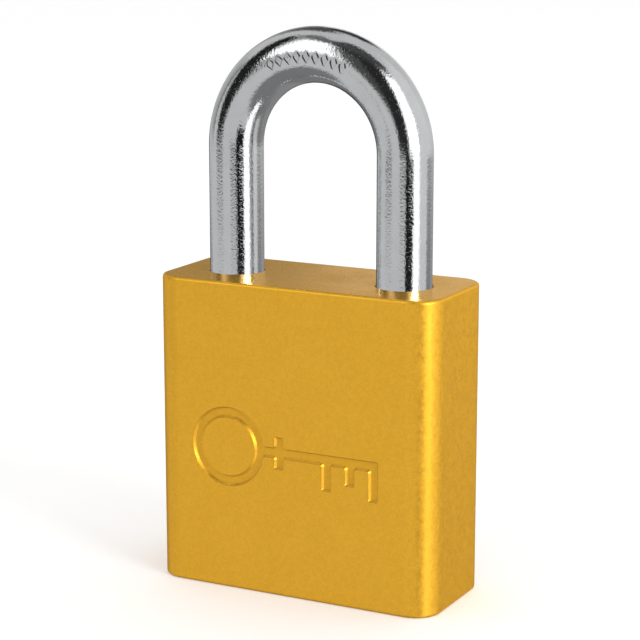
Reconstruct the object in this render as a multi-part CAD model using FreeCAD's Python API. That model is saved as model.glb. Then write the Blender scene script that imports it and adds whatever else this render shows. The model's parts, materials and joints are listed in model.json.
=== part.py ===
import FreeCAD
import Part

import math
import os

# Solid-body safety padlock: anodised aluminium block, hardened shackle held by two balls, five-pin cylinder.
# Own frame, millimetres: origin at the centre of the flat base, +X to the toe side, +Y to the back, +Z up
# through the shackle. The lock is drawn closed with its cylinder turned to the unlocked stop, so that each
# moving piece is free to move alone.

V = FreeCAD.Vector

# ---- driving dimensions -------------------------------------------------------------------------------
BODY_W = 44.45  # 1 3/4 in
BODY_D = 19.05  # 3/4 in
BODY_H = 45.4
CORNER_R = 4.0  # upright corners
EDGE_R = 0.45  # rim of the top and the base
MOUTH_BEVEL = 0.12  # where the legs enter the top
POCKET_BEVEL = 0.25  # where the cylinder enters the base
CLEAR = 0.1  # general clearance between pieces that move or are fitted
SLACK = 0.03  # clearance of a piece that is pressed or clipped in

LEG_D = 7.94  # 5/16 in bar
LOOP_GAP = 19.05  # 3/4 in between the legs
LOOP_CLEAR = 27.9  # top of the body to the inside of the crown
BALL_D = 6.35  # 1/4 in ball
BALL_BITE = 1.5  # how deep a locked ball stands in a leg
BALL_GAP = 0.125  # between an unlocked ball and its leg
BALL_DEPTH = 8.2  # ball centre below the top face
TOE_CLEAR = 2.3  # gap under the toe once the shackle is up
TOE_TAIL = 1.6  # bar below the toe's seat
HEEL_TAIL = 3.0  # bar below the heel's neck
TOE_BEVEL = 0.8
HEEL_BEVEL = 0.5

LEG_R = LEG_D / 2
LEG_X = (LOOP_GAP + LEG_D) / 2
CROWN_Z = BODY_H + LOOP_CLEAR - LOOP_GAP / 2  # where the legs run into the crown

BALL_R = BALL_D / 2
BALL_Z = BODY_H - BALL_DEPTH
SEAT_R = BALL_R + BALL_GAP  # cutter that makes the seats in the legs
LOCKED_X = LEG_X - LEG_R + BALL_BITE - BALL_R
OPEN_X = LEG_X - LEG_R - BALL_GAP - BALL_R
SEAT_HALF = math.sqrt(SEAT_R**2 - (LEG_X - LEG_R - LOCKED_X) ** 2)

TOE_END_Z = BALL_Z - SEAT_HALF - TOE_TAIL
LIFT = BODY_H - TOE_END_Z + TOE_CLEAR
NECK_Z = BALL_Z - LIFT
HEEL_END_Z = NECK_Z - SEAT_HALF - HEEL_TAIL

BORE_R = LEG_R + 0.15
HEEL_BORE_Z = 4.0
TOE_BORE_Z = TOE_END_Z - 1.1
BALL_BORE_R = BALL_R + CLEAR

FOLLOWER_GAP = 0.05
FOLLOWER_T = 1.6
FOLLOWER_STUB_R = 2.4
FOLLOWER_STUB_L = 3.0
SPRING_R = 3.25
SPRING_WIRE_R = 0.4
SPRING_PITCH = 1.45
SPRING_GAP = 0.05  # at each end

# cylinder: a round main lobe around the plug, and a narrow lobe towards the toe that holds the pins
FACE_Z = 0.35  # the cylinder sits this far inside the base
PLUG_R = 6.0
PLUG_GAP = 0.05
PLUG_HEAD_R = 6.5
PLUG_HEAD_T = 1.2
SHELL_R = 7.4
PIN_LOBE_R = 2.8
PIN_LOBE_X = 12.8
SHELL_TOP_Z = 21.8
PLUG_TOP_Z = 23.5
SHELL_BEVEL = 0.2
PLUG_BEVEL = 0.3

PIN_COUNT = 5
PIN_FIRST_Z = 3.6
PIN_PITCH = 3.8
PIN_R = 1.45
CHAMBER_R = 1.5
CHAMBER_FLOOR_X = 0.3
KEY_PIN_TOP_X = 5.8
KEY_PIN_LENGTHS = (4.4, 3.6, 4.9, 4.0, 3.4)
KEY_PIN_CONE_L = 1.0
KEY_PIN_TIP_R = 0.45
DRIVER_X = 6.06
DRIVER_L = 4.0
DRIVER_BEVEL = 0.2
PIN_SPRING_R = 1.1
PIN_SPRING_WIRE_R = 0.16
PIN_SPRING_PITCH = 0.78
COVER_X = 14.9
COVER_W = 3.4
COVER_FOOT_Z = PIN_FIRST_Z - 2.0
COVER_HEAD_Z = PIN_FIRST_Z + (PIN_COUNT - 1) * PIN_PITCH + 1.7
LOBE_END_X = PIN_LOBE_X + PIN_LOBE_R

CLIP_Z = SHELL_TOP_Z + 0.07
CLIP_T = 0.6
CLIP_R = 6.9
CLIP_MOUTH = 6.4
CLIP_GROOVE_R = 5.2

# actuator: turns with the plug and pushes the balls out
ACT_R = LOCKED_X - BALL_R - 0.06
ACT_FLANGE_R = 5.9
ACT_FLANGE_Z = PLUG_TOP_Z + 0.2
ACT_FLANGE_T = 2.8
ACT_TOP_Z = BALL_Z + 4.4
ACT_ROOM = 0.2  # around the flange
RAMP_R = BALL_R + 0.08
TONGUE_W = 2.8
TONGUE_L = 9.0
TONGUE_H = 0.9
PLUG_TURN = 90.0  # from the locked to the unlocked stop

SCREW_R = 1.95
SCREW_HOLE_R = 2.0
SCREW_L = 7.2
SCREW_BEVEL = 0.3
SOCKET_R = 1.15
SOCKET_DEPTH = 2.0
DOG_R = 1.3
DOG_L = 1.1

# key pictogram sunk in the front face
SIGN_Z = 21.3
SIGN_DEPTH = 0.5
SIGN_SLOPE = 0.3  # how far its walls lean
SIGN_CORNER_R = 0.3
SIGN_STROKE = 1.6
SIGN_BOW_X = -9.9
SIGN_BOW_R = 5.9
SIGN_TIP_X = 14.2
SIGN_COLLAR = 1.6  # from the bow to the collar
SIGN_COLLAR_HALF = 2.4
SIGN_TEETH_X = (5.2, 8.9, 12.6)
SIGN_TEETH = (4.6, 3.4, 5.2)

# row of stamped diamonds on the front of the crown
MARK_COUNT = 9
MARK_STEP = 6.2  # degrees along the crown
MARK_W = 1.1
MARK_H = 1.75
MARK_STROKE = 0.3
MARK_DEPTH = 0.24


THROUGH = 1.0  # how far a cutting tool runs past what it cuts
FLAT = 1e-4  # an extent under this is taken as none


# ---- helpers ------------------------------------------------------------------------------------------
def cyl(r, z0, z1, x=0.0, y=0.0):
    """Upright cylinder between two heights."""
    return Part.makeCylinder(r, z1 - z0, V(x, y, z0))


def cyl_x(r, x0, x1, z, y=0.0):
    """Cylinder along X between two stations."""
    return Part.makeCylinder(r, x1 - x0, V(x0, y, z), V(1, 0, 0))


def box(x0, x1, y0, y1, z0, z1):
    """Box between two corners."""
    return Part.makeBox(x1 - x0, y1 - y0, z1 - z0, V(x0, y0, z0))


def rim(shape, wanted):
    """The edges of a shape whose bounding box passes a test."""
    return [edge for edge in shape.Edges if wanted(edge.BoundBox)]


def bevel_at(shape, size, z):
    """Chamfers every edge that lies flat at height z."""
    edges = rim(shape, lambda b: abs(b.ZMin - z) < FLAT and abs(b.ZMax - z) < FLAT)
    return shape.makeChamfer(size, edges)


def turn(shape, degrees):
    """A copy of a shape turned about the plug's axis."""
    copy = shape.copy()
    copy.rotate(V(0, 0, 0), V(0, 0, 1), degrees)
    return copy


def coil(mean_r, wire_r, pitch, length):
    """Open helical spring standing on the origin along +Z, its wire inside the given length."""
    path = Part.Wire(Part.makeHelix(pitch, length - 2 * wire_r, mean_r).Edges)
    section = Part.Wire(Part.makeCircle(wire_r, V(mean_r, 0, 0), V(0, 1, 0)))
    spring = path.makePipeShell([section], True, True)
    spring.translate(V(0, 0, wire_r))
    return spring


def pin_height(n):
    """Height of the nth pin chamber above the base."""
    return PIN_FIRST_Z + n * PIN_PITCH


# ---- lock body ----------------------------------------------------------------------------------------
def rounded_block():
    """The extruded bar with its upright corners and softened rims."""
    block = box(-BODY_W / 2, BODY_W / 2, -BODY_D / 2, BODY_D / 2, 0, BODY_H)
    uprights = rim(block, lambda b: b.ZLength > BODY_H - FLAT)
    block = block.makeFillet(CORNER_R, uprights)
    rims = rim(block, lambda b: b.ZLength < FLAT)
    return block.makeFillet(EDGE_R, rims)


def cylinder_room():
    """The two-lobed pocket for the cylinder, open at the base."""
    lobe_r = PIN_LOBE_R + CLEAR
    lobe_top = SHELL_TOP_Z + CLEAR
    return [
        cyl(SHELL_R + CLEAR, -THROUGH, ACT_FLANGE_Z),
        box(0, PIN_LOBE_X, -lobe_r, lobe_r, -THROUGH, lobe_top),
        cyl(lobe_r, -THROUGH, lobe_top, PIN_LOBE_X),
    ]


def key_sign():
    """Tool for the plain key pictogram sunk in the front face: one stroke width, leaning walls."""
    front = -BODY_D / 2
    floor_y = front + SIGN_DEPTH
    half = SIGN_STROKE / 2

    def disc(r):
        return Part.makeCylinder(r, SIGN_DEPTH + THROUGH, V(SIGN_BOW_X, front - THROUGH, SIGN_Z), V(0, 1, 0))

    def bar(x0, x1, z0, z1):
        return box(x0, x1, front - THROUGH, floor_y, SIGN_Z + z0, SIGN_Z + z1)

    ring = disc(SIGN_BOW_R).cut(disc(SIGN_BOW_R - SIGN_STROKE))
    bow_end = SIGN_BOW_X + SIGN_BOW_R
    collar = bow_end + SIGN_COLLAR
    strokes = [
        bar(bow_end - half, SIGN_TIP_X, -half, half),
        bar(collar, collar + SIGN_STROKE, -SIGN_COLLAR_HALF, SIGN_COLLAR_HALF),
    ]
    for x, drop in zip(SIGN_TEETH_X, SIGN_TEETH):
        strokes.append(bar(x, x + SIGN_STROKE, -drop, 0))
    sign = ring.fuse(strokes).removeSplitter()
    uprights = rim(sign, lambda b: b.YLength > SIGN_DEPTH and b.XLength < FLAT and b.ZLength < FLAT)
    sign = sign.makeFillet(SIGN_CORNER_R, uprights)
    sunk = rim(sign, lambda b: abs(b.YMin - floor_y) < FLAT and b.YLength < FLAT)
    return sign.makeChamfer(SIGN_SLOPE, sunk)


def lock_body():
    """One block of aluminium, bored for the legs, balls, actuator, cylinder and retaining screw."""
    flange_top = ACT_FLANGE_Z + ACT_FLANGE_T + ACT_ROOM
    cuts = [
        cyl(BORE_R, HEEL_BORE_Z, BODY_H + THROUGH, -LEG_X),
        cyl(BORE_R, TOE_BORE_Z, BODY_H + THROUGH, LEG_X),
        cyl(ACT_R + CLEAR, ACT_FLANGE_Z, ACT_TOP_Z + 4 * CLEAR),
        cyl(ACT_FLANGE_R + ACT_ROOM, ACT_FLANGE_Z - THROUGH, flange_top),
        cyl_x(BALL_BORE_R, -LEG_X, LEG_X, BALL_Z),
        cyl(SCREW_HOLE_R, SHELL_TOP_Z, TOE_BORE_Z + THROUGH, LEG_X),
    ]
    block = rounded_block().cut(cuts + cylinder_room() + [key_sign()])
    mouths = rim(
        block,
        lambda b: b.ZLength < FLAT
        and abs(b.ZMin - BODY_H) < FLAT
        and abs(b.XLength - 2 * BORE_R) < 10 * FLAT,
    )
    block = block.makeChamfer(MOUTH_BEVEL, mouths)
    pocket = rim(
        block,
        lambda b: b.ZLength < FLAT
        and abs(b.ZMin) < FLAT
        and max(abs(b.XMin), abs(b.XMax)) < LOBE_END_X + 2 * CLEAR
        and b.YLength < 2 * (SHELL_R + 2 * CLEAR),
    )
    return block.makeChamfer(POCKET_BEVEL, pocket)


# ---- shackle and what moves it ------------------------------------------------------------------------
def crown_marks():
    """Tools for the row of plain stamped diamonds along the front of the crown."""
    lean = math.degrees(math.atan2(MARK_W, MARK_H))
    half = math.hypot(MARK_W, MARK_H) / 4
    marks = []
    for n in range(MARK_COUNT):
        strokes = []
        for side, end in ((-1, -1), (-1, 1), (1, -1), (1, 1)):
            stroke = box(-half, half, -LEG_D, MARK_DEPTH - LEG_R, -MARK_STROKE / 2, MARK_STROKE / 2)
            stroke.rotate(V(0, 0, 0), V(0, 1, 0), side * end * lean)
            stroke.translate(V(end * MARK_H / 4, 0, side * MARK_W / 4))
            strokes.append(stroke)
        mark = strokes[0].fuse(strokes[1:]).removeSplitter()
        mark.translate(V(LEG_X, 0, 0))
        mark.rotate(V(0, 0, 0), V(0, -1, 0), 90 + (n - (MARK_COUNT - 1) / 2) * MARK_STEP)
        mark.translate(V(0, 0, CROWN_Z))
        marks.append(mark)
    return marks


def shackle():
    """Round bar bent to a U: seats for the balls in both legs, a turned neck low on the heel."""
    heel = cyl(LEG_R, HEEL_END_Z, CROWN_Z, -LEG_X)
    toe = cyl(LEG_R, TOE_END_Z, CROWN_Z, LEG_X)
    heel = bevel_at(heel, HEEL_BEVEL, HEEL_END_Z)
    toe = bevel_at(toe, TOE_BEVEL, TOE_END_Z)
    section = Part.Face(Part.Wire(Part.makeCircle(LEG_R, V(LEG_X, 0, CROWN_Z))))
    crown = section.revolve(V(0, 0, CROWN_Z), V(0, -1, 0), 180)
    bar = heel.fuse([toe, crown]).removeSplitter()
    seats = [
        Part.makeCylinder(SEAT_R, 2 * LEG_D, V(side * LOCKED_X, -LEG_D, BALL_Z), V(0, 1, 0))
        for side in (-1, 1)
    ]
    neck = Part.makeTorus(LEG_X - LOCKED_X, SEAT_R, V(-LEG_X, 0, NECK_Z))
    return bar.cut(seats + [neck] + crown_marks())


def spring_follower():
    """Cap on the shackle spring, so that the heel turns on it without winding the spring."""
    top = HEEL_END_Z - FOLLOWER_GAP
    foot = top - FOLLOWER_T
    cap = cyl(LEG_R, foot, top, -LEG_X)
    stub = cyl(FOLLOWER_STUB_R, foot - FOLLOWER_STUB_L, foot, -LEG_X)
    return cap.fuse(stub).removeSplitter()


def shackle_spring():
    """Spring in the foot of the heel's bore, drawn pressed down by the closed shackle."""
    top = HEEL_END_Z - FOLLOWER_GAP - FOLLOWER_T - 3 * SPRING_GAP
    spring = coil(SPRING_R, SPRING_WIRE_R, SPRING_PITCH, top - HEEL_BORE_Z - SPRING_GAP)
    spring.translate(V(-LEG_X, 0, HEEL_BORE_Z + SPRING_GAP))
    return spring


def ball(side):
    """Locking ball of one side, in its unlocked place clear of the leg."""
    return Part.makeSphere(BALL_R, V(side * OPEN_X, 0, BALL_Z))


# ---- actuator -----------------------------------------------------------------------------------------
def ramp_point(share):
    """Where a ball's centre stands over the actuator when the plug has turned this share of its travel."""
    angle = math.radians(PLUG_TURN) * share
    reach = OPEN_X + (LOCKED_X - OPEN_X) * share
    return V(reach * math.cos(angle), reach * math.sin(angle), BALL_Z)


def ball_ramp():
    """Tools for one ramped pocket: a round groove along the ball's path, round at both ends."""
    path = Part.Arc(ramp_point(0), ramp_point(0.5), ramp_point(1))
    start = ramp_point(0)
    section = Part.Wire(Part.makeCircle(RAMP_R, start, path.tangent(path.FirstParameter)[0]))
    groove = Part.Wire(path.toShape()).makePipeShell([section], True, True)
    return [groove] + [Part.makeSphere(RAMP_R, ramp_point(share)) for share in (0, 1)]


def actuator():
    """Cam over the plug: the balls lie deep in its ramps unlocked and at the high ends locked."""
    flange_top = ACT_FLANGE_Z + ACT_FLANGE_T
    body = cyl(ACT_FLANGE_R, ACT_FLANGE_Z, flange_top)
    body = body.fuse(cyl(ACT_R, flange_top, ACT_TOP_Z))
    tongue_z = PLUG_TOP_Z - TONGUE_H
    tongue = box(-TONGUE_W / 2, TONGUE_W / 2, -TONGUE_L / 2, TONGUE_L / 2, tongue_z, ACT_FLANGE_Z)
    body = body.fuse(tongue)
    ramps = ball_ramp()
    ramps += [turn(tool, 180) for tool in ramps]
    return body.cut(ramps)


# ---- cylinder -----------------------------------------------------------------------------------------
def keyway():
    """Tool for the key slot: a crooked slot, open on the side away from the pins."""
    near = [(-6.8, -1.0), (-4.2, -1.0), (-3.6, -0.3), (-2.2, -0.3), (-1.6, -1.0), (0.6, -1.0), (1.1, -0.5)]
    far = [(0.9, 0.9), (0.3, 0.3), (-1.0, 0.3), (-1.6, 1.0), (-3.0, 1.0), (-3.6, 0.4), (-5.0, 0.4)]
    outline = near + [(2.7, -0.5), (2.7, 0.9)] + far + [(-5.4, 0.9), (-6.8, 0.9)]
    points = [V(x, y, -THROUGH) for x, y in outline]
    slot = Part.Face(Part.makePolygon(points + points[:1]))
    return slot.extrude(V(0, 0, SHELL_TOP_Z))


def cylinder_plug():
    """Brass plug with its head, key slot, five chambers, clip groove and drive slot, drawn locked."""
    plug = cyl(PLUG_R, FACE_Z, PLUG_TOP_Z).fuse(cyl(PLUG_HEAD_R, FACE_Z, FACE_Z + PLUG_HEAD_T))
    plug = bevel_at(plug.removeSplitter(), PLUG_BEVEL, FACE_Z)
    groove = cyl(PLUG_R + THROUGH, CLIP_Z - SLACK, CLIP_Z + CLIP_T + SLACK)
    groove = groove.cut(cyl(CLIP_GROOVE_R, CLIP_Z - THROUGH, CLIP_Z + CLIP_T + THROUGH))
    slot_half = TONGUE_W / 2 + CLEAR
    slot_z = PLUG_TOP_Z - TONGUE_H - CLEAR
    drive_slot = box(-SHELL_R, SHELL_R, -slot_half, slot_half, slot_z, PLUG_TOP_Z + THROUGH)
    chambers = [
        cyl_x(CHAMBER_R, CHAMBER_FLOOR_X, PLUG_R + THROUGH, pin_height(n)) for n in range(PIN_COUNT)
    ]
    return plug.cut([keyway()] + chambers + [groove, drive_slot])


def plug_clip():
    """Open ring that holds the plug in the shell."""
    ring = cyl(CLIP_R, CLIP_Z, CLIP_Z + CLIP_T).cut(cyl(CLIP_GROOVE_R + CLEAR, 0, PLUG_TOP_Z))
    return ring.cut(box(-SHELL_R, 0, -CLIP_MOUTH / 2, CLIP_MOUTH / 2, 0, PLUG_TOP_Z))


def cylinder_shell():
    """Two-lobed brass shell with the plug's bore and five chambers closed by a strip."""
    shell = cyl(SHELL_R, FACE_Z, SHELL_TOP_Z)
    lobe = box(0, PIN_LOBE_X, -PIN_LOBE_R, PIN_LOBE_R, FACE_Z, SHELL_TOP_Z)
    tip = cyl(PIN_LOBE_R, FACE_Z, SHELL_TOP_Z, PIN_LOBE_X)
    shell = shell.fuse([lobe, tip]).removeSplitter()
    shell = bevel_at(shell, SHELL_BEVEL, FACE_Z)
    outside = LOBE_END_X + THROUGH
    cuts = [
        cyl(PLUG_R + PLUG_GAP, -THROUGH, SHELL_TOP_Z + THROUGH),
        cyl(PLUG_HEAD_R + PLUG_GAP, -THROUGH, FACE_Z + PLUG_HEAD_T + CLEAR),
        cyl(DOG_R + CLEAR, SHELL_TOP_Z - DOG_L - CLEAR, SHELL_TOP_Z + THROUGH, LEG_X),
        box(COVER_X, outside, -COVER_W / 2, COVER_W / 2, COVER_FOOT_Z, COVER_HEAD_Z),
    ]
    cuts += [cyl_x(CHAMBER_R, PLUG_R - THROUGH, outside, pin_height(n)) for n in range(PIN_COUNT)]
    return shell.cut(cuts)


def chamber_cover():
    """Strip staked over the outer ends of the pin chambers."""
    half = COVER_W / 2 - SLACK
    foot, head = COVER_FOOT_Z + SLACK, COVER_HEAD_Z - SLACK
    strip = box(COVER_X + SLACK, LOBE_END_X + THROUGH, -half, half, foot, head)
    return strip.common(cyl(PIN_LOBE_R, 0, SHELL_TOP_Z, PIN_LOBE_X))


def driver_pin(n):
    """Top pin, drawn at the shear line, with relieved ends."""
    pin = cyl_x(PIN_R, DRIVER_X, DRIVER_X + DRIVER_L, pin_height(n))
    return pin.makeChamfer(DRIVER_BEVEL, rim(pin, lambda b: b.XLength < FLAT))


def key_pin(n):
    """Bottom pin with its cone towards the key, drawn at the shear line with the plug locked."""
    tip_x = KEY_PIN_TOP_X - KEY_PIN_LENGTHS[n]
    shaft = cyl_x(PIN_R, tip_x + KEY_PIN_CONE_L, KEY_PIN_TOP_X, pin_height(n))
    cone = Part.makeCone(KEY_PIN_TIP_R, PIN_R, KEY_PIN_CONE_L, V(tip_x, 0, pin_height(n)), V(1, 0, 0))
    return shaft.fuse(cone).removeSplitter()


def driver_spring(n):
    """Spring between a driver pin and the cover strip."""
    start = DRIVER_X + DRIVER_L + SLACK
    spring = coil(PIN_SPRING_R, PIN_SPRING_WIRE_R, PIN_SPRING_PITCH, COVER_X - start - SLACK)
    spring.rotate(V(0, 0, 0), V(0, 1, 0), 90)
    spring.translate(V(start, 0, pin_height(n)))
    return spring


def retaining_screw():
    """Socket screw at the foot of the toe bore; its dog point keeps the cylinder in."""
    bottom = SHELL_TOP_Z + 2 * CLEAR
    screw = cyl(SCREW_R, bottom, bottom + SCREW_L, LEG_X)
    screw = bevel_at(screw, SCREW_BEVEL, bottom + SCREW_L)
    screw = screw.fuse(cyl(DOG_R, SHELL_TOP_Z - DOG_L, bottom, LEG_X))
    floor_z = bottom + SCREW_L - SOCKET_DEPTH
    spokes = [math.radians(60 * k) for k in range(7)]
    corners = [V(LEG_X + SOCKET_R * math.cos(a), SOCKET_R * math.sin(a), floor_z) for a in spokes]
    socket = Part.Face(Part.makePolygon(corners)).extrude(V(0, 0, SOCKET_DEPTH + THROUGH))
    return screw.cut(socket)


# ---- the whole lock -----------------------------------------------------------------------------------
def sub_parts():
    """Every node by name. Pieces that ride on the plug are turned from locked to unlocked."""
    nodes = {
        "lock_body": lock_body(),
        "shackle": shackle(),
        "spring_follower": spring_follower(),
        "shackle_spring": shackle_spring(),
        "heel_ball": ball(-1),
        "toe_ball": ball(1),
        "actuator": actuator(),
        "cylinder_shell": cylinder_shell(),
        "pin_chamber_cover": chamber_cover(),
        "cylinder_retaining_screw": retaining_screw(),
        "cylinder_plug": turn(cylinder_plug(), PLUG_TURN),
        "plug_retaining_clip": turn(plug_clip(), PLUG_TURN),
    }
    for n in range(PIN_COUNT):
        nodes[f"driver_pin_{n + 1}"] = driver_pin(n)
        nodes[f"driver_spring_{n + 1}"] = driver_spring(n)
        nodes[f"key_pin_{n + 1}"] = turn(key_pin(n), PLUG_TURN)
    return nodes


os.makedirs("parts", exist_ok=True)
for name, shape in sub_parts().items():
    shape.exportStep(f"parts/{name}.step")
    print(f"{name:26s} solids {len(shape.Solids)} valid {shape.isValid()} volume {shape.Volume:10.2f}")
print(f"lift {LIFT:.3f} ball travel {LOCKED_X - OPEN_X:.3f}")
print(f"toe end {TOE_END_Z:.3f} heel end {HEEL_END_Z:.3f}")
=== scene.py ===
import json
import math

import bpy
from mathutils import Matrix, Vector


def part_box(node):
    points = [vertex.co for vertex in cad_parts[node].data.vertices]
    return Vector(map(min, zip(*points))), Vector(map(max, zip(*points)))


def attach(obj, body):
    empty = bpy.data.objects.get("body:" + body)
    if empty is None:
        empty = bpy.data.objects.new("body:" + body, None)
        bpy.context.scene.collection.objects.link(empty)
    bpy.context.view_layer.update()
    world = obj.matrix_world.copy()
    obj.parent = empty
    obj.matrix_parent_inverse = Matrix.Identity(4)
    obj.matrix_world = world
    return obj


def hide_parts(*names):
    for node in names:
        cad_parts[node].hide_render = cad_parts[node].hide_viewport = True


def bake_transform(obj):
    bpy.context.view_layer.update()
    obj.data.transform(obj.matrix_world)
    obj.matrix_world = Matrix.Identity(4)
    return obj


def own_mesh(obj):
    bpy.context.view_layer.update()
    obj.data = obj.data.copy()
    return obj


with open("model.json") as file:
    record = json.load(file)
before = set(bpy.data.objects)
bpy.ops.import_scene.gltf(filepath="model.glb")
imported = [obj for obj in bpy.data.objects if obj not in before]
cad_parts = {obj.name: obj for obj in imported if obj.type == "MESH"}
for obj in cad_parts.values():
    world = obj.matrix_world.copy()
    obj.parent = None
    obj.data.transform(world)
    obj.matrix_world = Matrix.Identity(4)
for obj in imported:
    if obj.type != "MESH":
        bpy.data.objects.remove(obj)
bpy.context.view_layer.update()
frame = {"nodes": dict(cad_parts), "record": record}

MM = 0.001
NODES = frame["nodes"]
BODY_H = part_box("lock_body")[1].z


# ---- node helpers -------------------------------------------------------------------------------------
class Shader:
    """A material or world under construction, with short calls for its nodes and links."""

    def __init__(self, owner):
        self.tree = owner.node_tree
        self.tree.nodes.clear()

    def node(self, kind, settings=(), **inputs):
        """A new node with its settings, and its inputs by name."""
        node = self.tree.nodes.new(kind)
        for name, value in dict(settings).items():
            setattr(node, name, value)
        for name, value in inputs.items():
            self.set(node, name.replace("_", " "), value)
        return node

    def set(self, node, name, value):
        """Links an output to an input or sets its value. The input goes by its name or its number."""
        socket = node.inputs[int(name)] if name.isdigit() else node.inputs[name]
        if isinstance(value, bpy.types.NodeSocket):
            self.tree.links.new(value, socket)
        else:
            socket.default_value = value

    def math(self, operation, a, b=0.0):
        node = self.node("ShaderNodeMath", {"operation": operation})
        self.set(node, "0", a)
        self.set(node, "1", b)
        return node.outputs[0]

    def map(self, value, low, high, to_low=0.0, to_high=1.0):
        """A value smoothly carried from one range to another, and held at its ends."""
        node = self.node("ShaderNodeMapRange", {"interpolation_type": "SMOOTHSTEP"})
        names = ("Value", "From Min", "From Max", "To Min", "To Max")
        for name, given in zip(names, (value, low, high, to_low, to_high)):
            self.set(node, name, given)
        return node.outputs[0]

    def band(self, value, ends, soft):
        """1 between the two ends and 0 outside them, blurred by the softness at each."""
        rise = self.map(value, ends[0] - soft, ends[0] + soft)
        fall = self.map(value, ends[1] - soft, ends[1] + soft, 1.0, 0.0)
        return self.math("MULTIPLY", rise, fall)

    def mix(self, factor, a, b, blend="MIX"):
        node = self.node("ShaderNodeMix", {"data_type": "RGBA", "blend_type": blend})
        self.set(node, "0", factor)
        self.set(node, "6", a)
        self.set(node, "7", b)
        return node.outputs[2]

    def blend(self, factor, a, b):
        """A number between two others."""
        node = self.node("ShaderNodeMix", {"data_type": "FLOAT"})
        self.set(node, "0", factor)
        self.set(node, "2", a)
        self.set(node, "3", b)
        return node.outputs[0]

    def choose(self, factor, a, b):
        """One of two shaders."""
        node = self.node("ShaderNodeMixShader")
        self.set(node, "0", factor)
        self.set(node, "1", a)
        self.set(node, "2", b)
        return node.outputs[0]

    def grey(self, value):
        return self.node("ShaderNodeCombineColor", Red=value, Green=value, Blue=value).outputs[0]

    def noise(self, vector, scale, detail, roughness):
        """Noise with so many features to the metre."""
        node = self.node("ShaderNodeTexNoise", Vector=vector, Scale=scale, Detail=detail, Roughness=roughness)
        return node.outputs["Fac"]

    def bump(self, height, strength, distance, normal=None):
        node = self.node("ShaderNodeBump", Height=height, Strength=strength, Distance=distance)
        if normal is not None:
            self.set(node, "Normal", normal)
        return node.outputs[0]


def grey(level):
    return (level, level, level, 1)


def material(name):
    mat = bpy.data.materials.new(name)
    mat.use_nodes = True
    return mat, Shader(mat)


def finish_metal(mat, sh, color, roughness, normal, metallic=1.0, gloss=0.5, glance=(1, 1, 1, 1)):
    bsdf = sh.node("ShaderNodeBsdfPrincipled", Metallic=metallic, Normal=normal)
    sh.set(bsdf, "Base Color", color)
    sh.set(bsdf, "Roughness", roughness)
    sh.set(bsdf, "Specular IOR Level", gloss)
    sh.set(bsdf, "Specular Tint", glance)
    out = sh.node("ShaderNodeOutputMaterial")
    sh.set(out, "Surface", bsdf.outputs[0])
    return mat


# ---- materials ----------------------------------------------------------------------------------------
NOISE_SPAN = (0.25, 0.75)  # where nearly all of a noise's values lie
NOISE_MIDDLE = (0.3, 0.7)


def speckled(sh, color, *noises):
    """A colour made darker and lighter by noises, each given with the depth of its effect."""
    for value, depth in noises:
        tone = sh.map(value, *NOISE_SPAN, 1.0 - depth, 1.0 + depth)
        color = sh.mix(1.0, color, sh.grey(tone), "MULTIPLY")
    return color


GOLD_DEEP = (0.91, 0.475, 0.035, 1)
GOLD_LIGHT = (0.95, 0.515, 0.045, 1)
GOLD_ENDS = (0.80, 0.44, 0.06, 1)
GOLD_GLANCE = (0.95, 0.78, 0.52, 1)  # tint of the sheen over the dye
SATIN_ROUGHNESS = (0.31, 0.42)
ENDS_ROUGHNESS = (0.22, 0.30)
ENDS_NORMALS = (0.9, 0.98)  # faces that look this squarely up or down are the ends


def gold_anodised():
    """Satin gold dye over blasted aluminium; the top and base are browner and glossier."""
    mat, sh = material("gold_anodised_aluminium")
    coord = sh.node("ShaderNodeTexCoord")
    place = coord.outputs["Object"]
    grain = sh.noise(place, scale=4200.0, detail=2.0, roughness=0.6)
    fleck = sh.noise(place, scale=1500.0, detail=3.0, roughness=0.6)
    mottle = sh.noise(place, scale=190.0, detail=5.0, roughness=0.6)
    split = sh.node("ShaderNodeSeparateXYZ", Vector=coord.outputs["Normal"])
    ends = sh.map(sh.math("ABSOLUTE", split.outputs["Z"]), *ENDS_NORMALS)
    color = sh.mix(mottle, GOLD_DEEP, GOLD_LIGHT)
    # faces looking straight up or down get a browner colour
    color = sh.mix(ends, color, GOLD_ENDS)
    color = speckled(sh, color, (grain, 0.07), (fleck, 0.05))
    satin = sh.map(fleck, *NOISE_MIDDLE, *SATIN_ROUGHNESS)
    ends_rough = sh.map(mottle, *NOISE_MIDDLE, *ENDS_ROUGHNESS)
    rough = sh.blend(ends, satin, ends_rough)
    normal = sh.bump(grain, strength=0.5, distance=0.02 * MM)
    normal = sh.bump(fleck, strength=0.3, distance=0.03 * MM, normal=normal)
    return finish_metal(mat, sh, color, rough, normal, metallic=0.7, gloss=0.25, glance=GOLD_GLANCE)


CHROME = (0.80, 0.81, 0.82, 1)
CHROME_ROUGHNESS = (0.03, 0.08)
SPECK_ROUGHNESS = 0.35
SPECK_LEVELS = (0.66, 0.74)  # only the highest peaks of a noise are specks


def chrome():
    """Bright plating over a drawn bar: fine orange peel, faint long waves and a few dull specks."""
    mat, sh = material("chromed_steel")
    place = sh.node("ShaderNodeTexCoord").outputs["Object"]
    pebble = sh.noise(place, scale=3100.0, detail=2.0, roughness=0.6)
    wave = sh.noise(place, scale=420.0, detail=2.0, roughness=0.5)
    speck = sh.map(sh.noise(place, scale=5200.0, detail=1.0, roughness=0.5), *SPECK_LEVELS)
    normal = sh.bump(pebble, strength=0.62, distance=0.036 * MM)
    normal = sh.bump(wave, strength=0.25, distance=0.04 * MM, normal=normal)
    rough = sh.blend(speck, sh.map(wave, *NOISE_MIDDLE, *CHROME_ROUGHNESS), SPECK_ROUGHNESS)
    color = speckled(sh, CHROME, (wave, 0.03))
    return finish_metal(mat, sh, color, rough, normal)


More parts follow.
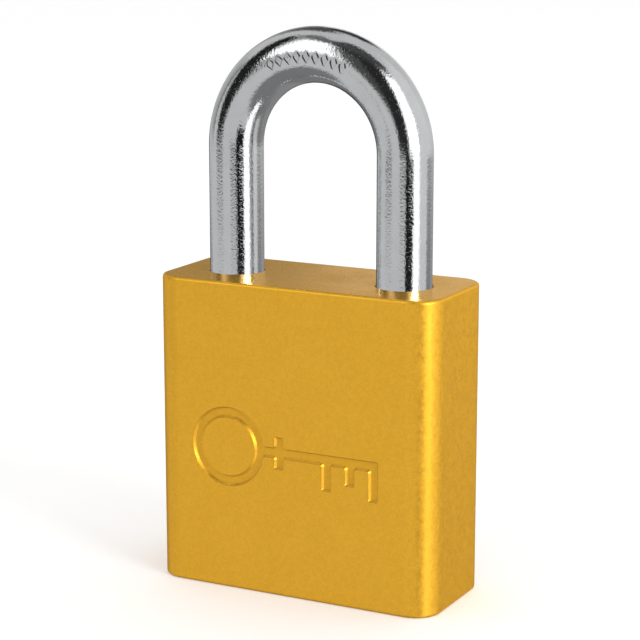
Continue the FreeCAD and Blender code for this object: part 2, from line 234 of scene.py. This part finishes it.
BRASS_BRIGHT = (0.78, 0.55, 0.22, 1)
BRASS_TARNISHED = (0.52, 0.34, 0.12, 1)
BRASS_ROUGHNESS = (0.22, 0.42)
TARNISH_LEVELS = (0.35, 0.7)
RING_PITCH = 0.22 * MM  # of the marks left by turning

# Painted shade, meant for the inside of the plug's key slot but lying as a dark stripe on the plug's outside:
# its reach along X and Y, and the heights between which it turns dark.
SHADE_STRIPE_X = (-7.0 * MM, 2.8 * MM)
SHADE_STRIPE_Y = (-1.06 * MM, 1.06 * MM)
SHADE_STRIPE_SOFT = 0.03 * MM
SHADE_STRIPE_DARKENS = (0.9 * MM, 3.0 * MM)
PAINTED_SHADE = (0.035, 0.024, 0.012, 1)


def brass(name, with_painted_shade=False):
    """Turned brass: fine rings and tarnish in blotches. The plug also has a stripe of painted shade towards
    the heel, meant for its key slot but lying on its outside.
    """
    mat, sh = material(name)
    place = sh.node("ShaderNodeTexCoord").outputs["Object"]
    split = sh.node("ShaderNodeSeparateXYZ", Vector=place)
    x, y = split.outputs["X"], split.outputs["Y"]
    radius = sh.math("SQRT", sh.math("ADD", sh.math("MULTIPLY", x, x), sh.math("MULTIPLY", y, y)))
    rings = sh.math("SINE", sh.math("MULTIPLY", radius, 2 * math.pi / RING_PITCH))
    tarnish = sh.noise(place, scale=320.0, detail=5.0, roughness=0.65)
    grain = sh.noise(place, scale=4000.0, detail=2.0, roughness=0.6)
    color = sh.mix(sh.map(tarnish, *TARNISH_LEVELS), BRASS_BRIGHT, BRASS_TARNISHED)
    color = speckled(sh, color, (grain, 0.06))
    if with_painted_shade:
        # painted shade: the plug turns dark in a stripe on its outside, where the key slot's shade was meant
        # to go
        shade_reach = sh.math("MULTIPLY", sh.band(x, SHADE_STRIPE_X, SHADE_STRIPE_SOFT), sh.band(y, SHADE_STRIPE_Y, SHADE_STRIPE_SOFT))
        painted_shade_mask = sh.math("MULTIPLY", shade_reach, sh.map(split.outputs["Z"], *SHADE_STRIPE_DARKENS))
        color = sh.mix(painted_shade_mask, color, PAINTED_SHADE)
    rough = sh.map(tarnish, *NOISE_MIDDLE, *BRASS_ROUGHNESS)
    normal = sh.bump(rings, strength=0.25, distance=0.01 * MM)
    normal = sh.bump(grain, strength=0.3, distance=0.01 * MM, normal=normal)
    return finish_metal(mat, sh, color, rough, normal)


GROUND_STEEL = (0.50, 0.50, 0.52, 1)
DRAWN_STEEL = (0.42, 0.43, 0.45, 1)
PATCH_SCALE = 0.15  # the patches' scale, as a share of the grain's


def bare_steel(name, color, roughness, grain_scale):
    """Oiled steel with a fine grain and darker patches."""
    mat, sh = material(name)
    place = sh.node("ShaderNodeTexCoord").outputs["Object"]
    wear = sh.noise(place, scale=grain_scale, detail=5.0, roughness=0.6)
    patch = sh.noise(place, scale=PATCH_SCALE * grain_scale, detail=3.0, roughness=0.5)
    normal = sh.bump(wear, strength=0.4, distance=0.02 * MM)
    color = speckled(sh, color, (wear, 0.08), (patch, 0.12))
    rough = sh.map(patch, *NOISE_MIDDLE, *roughness)
    return finish_metal(mat, sh, color, rough, normal)


# ---- studio -------------------------------------------------------------------------------------------
CAMERA_AZIMUTH = 27.5
CAMERA_ELEVATION = 12.2
CAMERA_DISTANCE = 6.7  # in body heights
CAMERA_AIM = 0.862  # in body heights above the base
CAMERA_AIM_X = 0.13 * MM
CAMERA_LENS = 118.6875  # focal length in millimetres
CAMERA_SENSOR = 36.0  # width in millimetres

FILL = 0.95  # brightness of the studio as it lights matt surfaces
SURROUND = 0.56  # brightness that reflections see between the panels

# The panels that reflections see, painted in order: degrees to the right of the camera and above the horizon,
# the lean of the sides per degree of height, the softness of the edges in degrees, and the brightness.
PANELS = (
    ((-205, 205), (-95, -42), 0.0, 4, 0.20),
    ((-205, -128), (-95, -10), 0.0, 4, 0.20),
    ((-205, -158), (24, 62), 0.0, 5, 0.08),
    ((-147, -118), (-4, 24), 0.0, 4, 0.42),
    ((-122, -110), (-4, 24), 0.0, 3, 0.22),
    ((-64, 60), (57, 95), 0.0, 4, 0.06),
    ((-114, -58), (56, 70), 0.0, 3, 0.15),
    ((60, 120), (-12, 60), 0.0, 8, 0.68),
    ((98, 128), (-95, -7), 0.0, 4, 0.22),
    ((128, 205), (-95, -8), 0.0, 5, 0.26),
    ((120, 152), (-5, 24), 0.0, 5, 0.62),
    ((155, 205), (22, 50), 0.0, 4, 0.03),
    ((-80, -45), (15, 53), 0.0, 4, 1.50),
    ((-93, -62), (-7, 54), 0.62, 2, 0.015),
    ((15, 57), (-9, 53), 0.0, 3, 1.35),
    ((31, 60), (-60, -6), 0.0, 2, 1.25),
    ((-205, -160), (-3, 24), 0.0, 6, 0.30),
    ((160, 205), (-3, 24), 0.0, 6, 0.75),
    ((-205, -153), (-30, -5), 0.0, 2, 0.05),
    ((166, 205), (-30, -5), 0.0, 2, 0.15),
    ((-47, 18), (44, 62), 0.0, 4, 0.03),
    ((-42, -14), (6, 48), 0.1, 5, 0.07),
    ((-24, 14), (-7, 52), 0.0, 2, 0.02),
    ((0, 31), (-24, -5), 0.0, 1, 0.012),
)


def direction(azimuth, elevation):
    """Unit vector from the lock, in degrees from the front towards the toe side and above the horizon."""
    a, e = math.radians(azimuth), math.radians(elevation)
    return Vector((math.sin(a) * math.cos(e), -math.cos(a) * math.cos(e), math.sin(e)))


def studio_world():
    """White surround for the light; reflections see a ring of grey and white panels with dark gaps."""
    world = bpy.data.worlds.new("studio")
    bpy.context.scene.world = world
    world.use_nodes = True
    sh = Shader(world)
    split = sh.node("ShaderNodeSeparateXYZ", Vector=sh.node("ShaderNodeTexCoord").outputs["Generated"])
    x, y, z = (split.outputs[k] for k in range(3))
    turn = math.radians(CAMERA_AZIMUTH)
    sine, cosine = math.sin(turn), math.cos(turn)
    ahead = sh.math("SUBTRACT", sh.math("MULTIPLY", x, sine), sh.math("MULTIPLY", y, cosine))
    aside = sh.math("ADD", sh.math("MULTIPLY", x, cosine), sh.math("MULTIPLY", y, sine))
    side = sh.math("MULTIPLY", sh.math("ARCTAN2", aside, ahead), math.degrees(1))
    height = sh.math("MULTIPLY", sh.math("ARCSINE", z), math.degrees(1))
    tone = grey(SURROUND)
    for across, up, lean, soft, level in PANELS:
        leaning = sh.math("ADD", side, sh.math("MULTIPLY", height, lean))
        mask = sh.math("MULTIPLY", sh.band(leaning, across, soft), sh.band(height, up, soft))
        tone = sh.mix(mask, tone, grey(level))
    panels = sh.node("ShaderNodeBackground", Color=tone)
    ray = sh.node("ShaderNodeLightPath")
    plain = sh.node("ShaderNodeBackground", Color=grey(1.0), Strength=FILL)
    backdrop = sh.node("ShaderNodeBackground", Color=grey(1.0))
    seen = sh.choose(ray.outputs["Is Camera Ray"], plain.outputs[0], backdrop.outputs[0])
    seen = sh.choose(ray.outputs["Is Glossy Ray"], seen, panels.outputs[0])
    sh.set(sh.node("ShaderNodeOutputWorld"), "Surface", seen)


def camera():
    data = bpy.data.cameras.new("camera")
    data.lens = CAMERA_LENS
    data.sensor_width = CAMERA_SENSOR
    data.clip_start = 10 * MM
    cam = bpy.data.objects.new("camera", data)
    bpy.context.scene.collection.objects.link(cam)
    back = direction(CAMERA_AZIMUTH, CAMERA_ELEVATION)
    cam.location = Vector((CAMERA_AIM_X, 0, CAMERA_AIM * BODY_H)) + back * CAMERA_DISTANCE * BODY_H
    cam.rotation_mode = "QUATERNION"
    cam.rotation_quaternion = (-back).to_track_quat("-Z", "Y")
    bpy.context.scene.camera = cam


FLOOR_SIZE = 6.0
FLOOR_ROUGHNESS = 0.9
FLOOR_TONE = 0.93
FLOOR_GLOW = 0.13
FLOOR_GAP = 0.02 * MM  # keeps the floor and the base of the lock from lying in one plane


def floor():
    bpy.ops.mesh.primitive_plane_add(size=FLOOR_SIZE, location=(0, 0, -FLOOR_GAP))
    plane = bpy.context.object
    plane.name = "floor"
    mat, sh = material("pale_floor")
    bsdf = sh.node("ShaderNodeBsdfPrincipled", Roughness=FLOOR_ROUGHNESS)
    sh.set(bsdf, "Base Color", grey(FLOOR_TONE))
    sh.set(bsdf, "Emission Color", grey(1.0))
    sh.set(bsdf, "Emission Strength", FLOOR_GLOW)
    out = sh.node("ShaderNodeOutputMaterial")
    sh.set(out, "Surface", bsdf.outputs[0])
    plane.data.materials.append(mat)
    plane.visible_glossy = False


KEY_SIDE = 43.0  # degrees to the right of the camera
KEY_HEIGHT = 14.0  # degrees above the horizon
KEY_DISTANCE = 0.7  # metres from the middle of the body
KEY_SIZE = 0.24
KEY_WATTS = 2.4


def key_light():
    data = bpy.data.lights.new("key", "AREA")
    data.shape = "SQUARE"
    data.size = KEY_SIZE
    data.energy = KEY_WATTS
    lamp = bpy.data.objects.new("key", data)
    bpy.context.scene.collection.objects.link(lamp)
    away = direction(CAMERA_AZIMUTH + KEY_SIDE, KEY_HEIGHT)
    lamp.location = Vector((0, 0, 0.5 * BODY_H)) + away * KEY_DISTANCE
    lamp.visible_camera = False
    lamp.rotation_mode = "QUATERNION"
    lamp.rotation_quaternion = (-away).to_track_quat("-Z", "Y")


# ---- the lock -----------------------------------------------------------------------------------------
PIN_COUNT = 5


def flexing_copy(node):
    """A copy of a CAD spring, unseen in reflections; the CAD spring is hidden."""
    source = NODES[node]
    piece = bpy.data.objects.new(f"{node}_coil", source.data.copy())
    bpy.context.scene.collection.objects.link(piece)
    piece.matrix_world = source.matrix_world
    piece.visible_glossy = False
    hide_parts(node)
    return piece


def springs():
    """Copies of the pin springs, attached to the housing with meshes of their own, and of the shackle's
    spring with its placing baked in.
    """
    for n in range(1, PIN_COUNT + 1):
        piece = flexing_copy(f"driver_spring_{n}")
        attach(piece, "housing")
        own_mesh(piece)
    piece = flexing_copy("shackle_spring")
    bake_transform(piece)


def dress():
    """Gives each CAD node the finish of its material slot. Reflections see only the shackle."""
    finishes = {
        "gold_anodised_aluminium": gold_anodised(),
        "chromed_steel": chrome(),
        "hardened_steel": bare_steel("hardened_steel", GROUND_STEEL, (0.2, 0.35), grain_scale=1500.0),
        "spring_steel": bare_steel("spring_steel", DRAWN_STEEL, (0.25, 0.4), grain_scale=2500.0),
        "brass": brass("brass"),
    }
    # the plug's brass carries a stripe of painted shade
    plug_painted_shade_finish = brass("brass_with_painted_shade", with_painted_shade=True)
    for part in frame["record"]["subparts"]:
        node = NODES[part["node"]]
        node.data.materials.clear()
        finish = plug_painted_shade_finish if part["node"] == "cylinder_plug" else finishes[part["material_slot"]]
        node.data.materials.append(finish)
        node.visible_glossy = part["node"] == "shackle"


bpy.context.scene.view_settings.view_transform = "Standard"
camera()
floor()
studio_world()
key_light()
dress()
springs()
